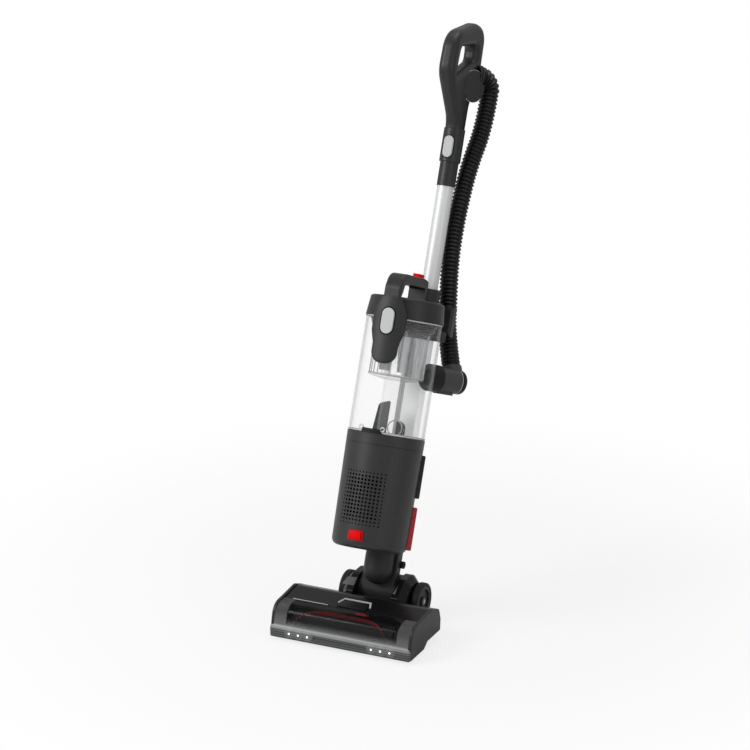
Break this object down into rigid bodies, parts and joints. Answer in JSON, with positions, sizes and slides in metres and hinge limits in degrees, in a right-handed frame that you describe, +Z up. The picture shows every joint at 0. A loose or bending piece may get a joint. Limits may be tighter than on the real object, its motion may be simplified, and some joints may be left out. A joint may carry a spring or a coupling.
{
  "type": "upright vacuum cleaner",
  "caption": "Bagless upright vacuum cleaner with a lit floor head, reclining neck, clear cyclone cup, wand, finger-loop handle and ribbed hose.",
  "frame": {"origin": "on the floor, at the middle of the bounding box of all pieces but the hose", "axes": "+Z up, +X to the user's right, -Y is the front, where the floor head's light bar is"},
  "size_m": [0.29, 0.6353, 1.0748],
  "materials": {
    "charcoal_plastic": "fine moulded grain",
    "black_plastic": "gloss",
    "grey_plastic": "satin",
    "light_grey": "satin",
    "red_plastic": "gloss",
    "red_clear": "translucent gloss",
    "clear_plastic": "clear moulding",
    "smoke_window": "smoked clear moulding",
    "pale_plastic": "translucent pale moulding",
    "light_bar": "grey diffuser",
    "led": "lit lens",
    "silver_tube": "satin anodised",
    "steel": "turned",
    "motor_iron": "painted laminations",
    "tyre_rubber": "matt",
    "hose_plastic": "glossy ribs",
    "bristle": "nylon tufts",
    "filter_felt": "felt"
  },
  "bodies": {
    "head": {"head_base": "charcoal_plastic", "sole_plate": "charcoal_plastic", "top_cover": "black_plastic", "side_panels": "charcoal_plastic", "end_caps": "grey_plastic", "brush_window": "smoke_window", "light_bar": "light_bar", "led_strip": "led", "brush_bearings": "steel", "drive_belt": "tyre_rubber", "brush_motor": "motor_iron", "recline_housing": "black_plastic", "steel_pins": "steel"},
    "left_wheel": {"rim_left": "grey_plastic", "tyre_left": "tyre_rubber"},
    "right_wheel": {"rim_right": "grey_plastic", "tyre_right": "tyre_rubber"},
    "left_roller": {"roller_left": "tyre_rubber"},
    "right_roller": {"roller_right": "tyre_rubber"},
    "brush": {"brush_roll": "black_plastic", "bristle_rows": "bristle"},
    "pulley": {"motor_pulley": "steel"},
    "latch": {"window_latch": "black_plastic"},
    "neck": {"neck_duct": "charcoal_plastic", "neck_column": "charcoal_plastic", "cord_gland": "tyre_rubber"},
    "canister": {"motor_housing": "charcoal_plastic", "rear_panel": "charcoal_plastic", "motor_stator": "motor_iron", "motor_mount": "tyre_rubber", "filters": "filter_felt", "motor_deck": "charcoal_plastic", "spine": "grey_plastic", "wand_socket": "charcoal_plastic", "hose_clip": "grey_plastic", "elbow_ends": "black_plastic", "elbow_knuckle": "grey_plastic", "hose": "hose_plastic"},
    "fan": {"fan_rotor": "motor_iron"},
    "red_cover": {"filter_cover": "red_clear"},
    "power_key": {"power_button": "red_plastic"},
    "cup": {"dust_cup": "clear_plastic", "cup_door": "clear_plastic", "cup_fin": "charcoal_plastic", "door_clip": "charcoal_plastic", "cup_lid": "charcoal_plastic", "cyclone_collar": "black_plastic", "cyclone_shroud": "pale_plastic", "cyclone_cones": "pale_plastic", "centre_tube": "clear_plastic", "front_panel": "charcoal_plastic"},
    "cup_key": {"cup_button": "light_grey"},
    "lift_key": {"lift_button": "red_plastic"},
    "wand": {"wand_tube": "silver_tube", "wand_grip": "charcoal_plastic", "handle_left": "charcoal_plastic", "handle_right": "charcoal_plastic", "hose_port": "charcoal_plastic", "hose_cuff": "black_plastic"},
    "wand_key": {"wand_button": "light_grey"}
  },
  "joints": [
    {"name": "recline", "type": "hinge", "parent": "head", "child": "neck", "pos_m": [0, -0.1184, 0.05], "axis": [-1, 0, 0], "range_deg": [-22, 55]},
    {"name": "steer", "type": "hinge", "parent": "neck", "child": "canister", "pos_m": [0, -0.14037, 0.13977], "axis": [0, 0.3746, 0.9272], "range_deg": [-45, 45]},
    {"name": "left_wheel_spin", "type": "hinge", "parent": "head", "child": "left_wheel", "pos_m": [-0.076, -0.1119, 0.036], "axis": [1, 0, 0], "continuous": true},
    {"name": "right_wheel_spin", "type": "hinge", "parent": "head", "child": "right_wheel", "pos_m": [0.076, -0.1119, 0.036], "axis": [1, 0, 0], "continuous": true},
    {"name": "left_roller_spin", "type": "hinge", "parent": "head", "child": "left_roller", "pos_m": [-0.126, -0.2974, 0.006], "axis": [1, 0, 0], "continuous": true},
    {"name": "right_roller_spin", "type": "hinge", "parent": "head", "child": "right_roller", "pos_m": [0.126, -0.2974, 0.006], "axis": [1, 0, 0], "continuous": true},
    {"name": "brush_spin", "type": "hinge", "parent": "head", "child": "brush", "pos_m": [0, -0.2774, 0.0295], "axis": [1, 0, 0], "continuous": true},
    {"name": "pulley_spin", "type": "hinge", "parent": "head", "child": "pulley", "pos_m": [0.099, -0.2094, 0.04], "axis": [1, 0, 0], "continuous": true},
    {"name": "latch_slide", "type": "slide", "parent": "head", "child": "latch", "axis": [0, 0.9948, 0.1023], "range_m": [0, 0.004], "stiffness_N_per_m": 250, "springref_m": -0.001},
    {"name": "fan_spin", "type": "hinge", "parent": "canister", "child": "fan", "pos_m": [0, -0.17268, 0.19596], "axis": [0, 0.3746, 0.9272], "continuous": true},
    {"name": "red_cover_slide", "type": "slide", "parent": "canister", "child": "red_cover", "axis": [0, 0.9272, -0.3746], "range_m": [0, 0.03]},
    {"name": "power_press", "type": "slide", "parent": "canister", "child": "power_key", "axis": [0, 0.9272, -0.3746], "range_m": [0, 0.0025], "stiffness_N_per_m": 600, "springref_m": -0.0015},
    {"name": "cup_slide", "type": "slide", "parent": "canister", "child": "cup", "axis": [0, -0.9272, 0.3746], "range_m": [0, 0.12]},
    {"name": "cup_press", "type": "slide", "parent": "cup", "child": "cup_key", "axis": [0, 0.9272, -0.3746], "range_m": [0, 0.0025], "stiffness_N_per_m": 600, "springref_m": -0.0015},
    {"name": "lift_press", "type": "slide", "parent": "cup", "child": "lift_key", "axis": [0, -0.3746, -0.9272], "range_m": [0, 0.003], "stiffness_N_per_m": 600, "springref_m": -0.0015},
    {"name": "wand_slide", "type": "slide", "parent": "canister", "child": "wand", "axis": [0, 0.3746, 0.9272], "range_m": [0, 0.05], "deforming": ["hose"]},
    {"name": "wand_press", "type": "slide", "parent": "wand", "child": "wand_key", "axis": [0, 0.9272, -0.3746], "range_m": [0, 0.0025], "stiffness_N_per_m": 600, "springref_m": -0.0015}
  ],
  "couplings": [
    {"joint": "pulley_spin", "follows": "brush_spin", "ratio": 2.3008}
  ]
}
